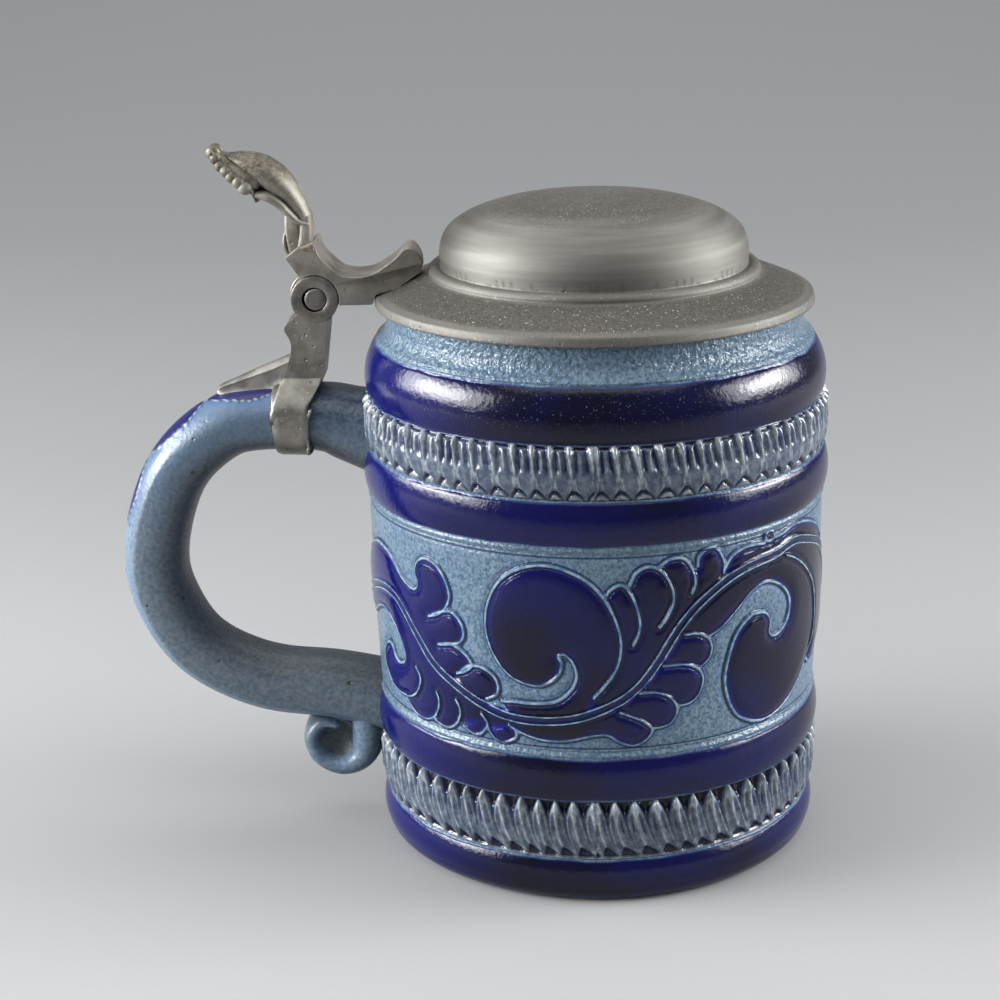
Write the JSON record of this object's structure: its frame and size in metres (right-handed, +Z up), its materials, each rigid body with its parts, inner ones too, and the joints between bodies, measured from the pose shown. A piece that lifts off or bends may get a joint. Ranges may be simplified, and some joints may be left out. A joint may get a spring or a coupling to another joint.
{
  "type": "beer stein",
  "caption": "Stoneware beer stein with a loop handle and a hinged pewter lid on a strap, raised by a cast thumblift.",
  "frame": {"origin": "centre of the vessel's round base, on its underside, where the stein stands on a table", "axes": "+Z up along the vessel's axis; the handle points along -X; the lid's hinge axis is parallel to Y"},
  "size_m": [0.1499, 0.0974, 0.1471],
  "materials": {
    "stoneware": "salt glaze over cobalt decoration",
    "pewter": "turned and cast pewter, satin",
    "dull_pewter": "tarnished pewter, dull",
    "pin_metal": "satin",
    "solder": "satin"
  },
  "bodies": {
    "stein": {"mug_body": "stoneware", "handle": "stoneware", "handle_band": "pewter", "tail_fin": "pewter", "hinge_strap": "dull_pewter", "hinge_pin": "pin_metal"},
    "lid_unit": {"lid": "pewter", "lid_tang": "dull_pewter", "thumblift": "pewter", "thumblift_solder": "solder"}
  },
  "joints": [
    {"name": "lid_hinge", "type": "hinge", "parent": "stein", "child": "lid_unit", "pos_m": [-0.0573, 0, 0.1166], "axis": [0, -1, 0], "range_deg": [0, 90]}
  ]
}
